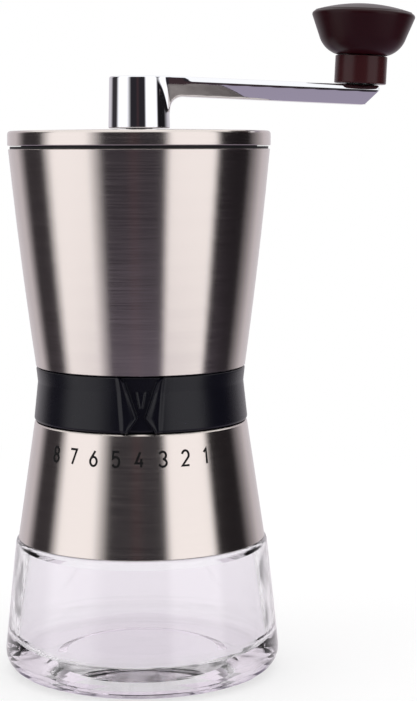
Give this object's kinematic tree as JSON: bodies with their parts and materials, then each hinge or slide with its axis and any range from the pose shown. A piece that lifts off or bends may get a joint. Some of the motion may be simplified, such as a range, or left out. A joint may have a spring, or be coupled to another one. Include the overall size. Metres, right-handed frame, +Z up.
{
  "type": "hand crank coffee grinder",
  "caption": "Manual coffee mill: glass jar below an hourglass steel body, black click ring for the grind, ceramic burrs, lift-off lid, chrome crank with dark knob",
  "frame": {"origin": "on the mill's vertical axis, in the plane of the foot that the glass jar stands on", "axes": "+Z up along the shaft, -Y the front where the click ring's pointer stands, +X towards the knob at rest"},
  "size_m": [0.126, 0.085, 0.204],
  "materials": {
    "clear_glass": "clear pressed soda-lime glass, fire polished",
    "silicone": "moulded translucent silicone rubber",
    "brushed_steel": "stainless sheet brushed round the axis",
    "black_plastic": "black moulded nylon, fine matt",
    "ring_plastic": "black moulded plastic, satin",
    "plain_steel": "turned or pressed steel, plain",
    "acetal": "natural acetal, turned smooth",
    "burr_ceramic": "sintered white ceramic, unglazed",
    "chrome": "polished die casting, chromium plated",
    "collar_plastic": "red-brown moulded plastic, satin gloss",
    "knob_plastic": "dark brown moulded plastic, satin gloss"
  },
  "bodies": {
    "jar": {"glass_jar": "clear_glass"},
    "seal": {"jar_gasket": "silicone"},
    "housing": {"lower_shell": "brushed_steel", "lower_core": "black_plastic", "upper_shell": "brushed_steel", "hopper": "black_plastic", "bearing_spider": "black_plastic", "rim_ring": "black_plastic", "body_screws": "plain_steel", "bearing_bridge": "black_plastic", "bridge_screws": "plain_steel", "upper_bush": "acetal", "lower_bush": "acetal", "detent_ball": "plain_steel", "detent_spring": "plain_steel"},
    "click_ring": {"adjusting_ring": "ring_plastic"},
    "burr_stage": {"burr_carrier": "black_plastic", "outer_burr": "burr_ceramic", "burr_clip": "plain_steel"},
    "drive": {"drive_shaft": "plain_steel", "inner_burr": "burr_ceramic", "burr_driver": "black_plastic", "burr_washer": "plain_steel", "burr_nut": "plain_steel", "burr_spring": "plain_steel", "spring_washer": "plain_steel", "shaft_washer": "plain_steel", "shaft_circlip": "plain_steel"},
    "lid": {"lid_cover": "brushed_steel", "lid_insert": "black_plastic", "lid_seal": "silicone"},
    "crank": {"crank_arm": "chrome", "hub_socket": "black_plastic", "knob_screw": "plain_steel", "knob_washer": "black_plastic"},
    "knob": {"knob_collar": "collar_plastic", "knob_bowl": "knob_plastic", "knob_cap": "knob_plastic"}
  },
  "joints": [
    {"name": "jar_thread_lift", "type": "slide", "parent": "jar", "child": "seal", "axis": [0, 0, 1], "range_m": [0, 0.015]},
    {"name": "unscrew_body", "type": "hinge", "parent": "seal", "child": "housing", "pos_m": [0, 0, 0.05], "axis": [0, 0, 1], "range_deg": [0, 1080]},
    {"name": "click_ring_turn", "type": "hinge", "parent": "housing", "child": "click_ring", "pos_m": [0, 0, 0.086], "axis": [0, 0, 1], "range_deg": [-46.4, 34.8]},
    {"name": "burr_feed", "type": "slide", "parent": "click_ring", "child": "burr_stage", "axis": [0, 0, 1], "range_m": [-0.0006, 0.0008]},
    {"name": "drive_turn", "type": "hinge", "parent": "housing", "child": "drive", "pos_m": [0, 0, 0.1], "axis": [0, 0, 1], "continuous": true},
    {"name": "crank_pull", "type": "slide", "parent": "drive", "child": "crank", "axis": [0, 0, 1], "range_m": [0, 0.06]},
    {"name": "lid_lift", "type": "slide", "parent": "housing", "child": "lid", "axis": [0, 0, 1], "range_m": [0, 0.03]},
    {"name": "knob_turn", "type": "hinge", "parent": "crank", "child": "knob", "pos_m": [0.067, 0, 0.17968], "axis": [0.0471, 0, 0.9989], "continuous": true}
  ],
  "couplings": [
    {"joint": "jar_thread_lift", "follows": "unscrew_body", "m_per_rad": 0.00079577},
    {"joint": "burr_feed", "follows": "click_ring_turn", "m_per_rad": -0.00095493},
    {"joint": "lid_lift", "follows": "crank_pull", "ratio": 0.5}
  ]
}
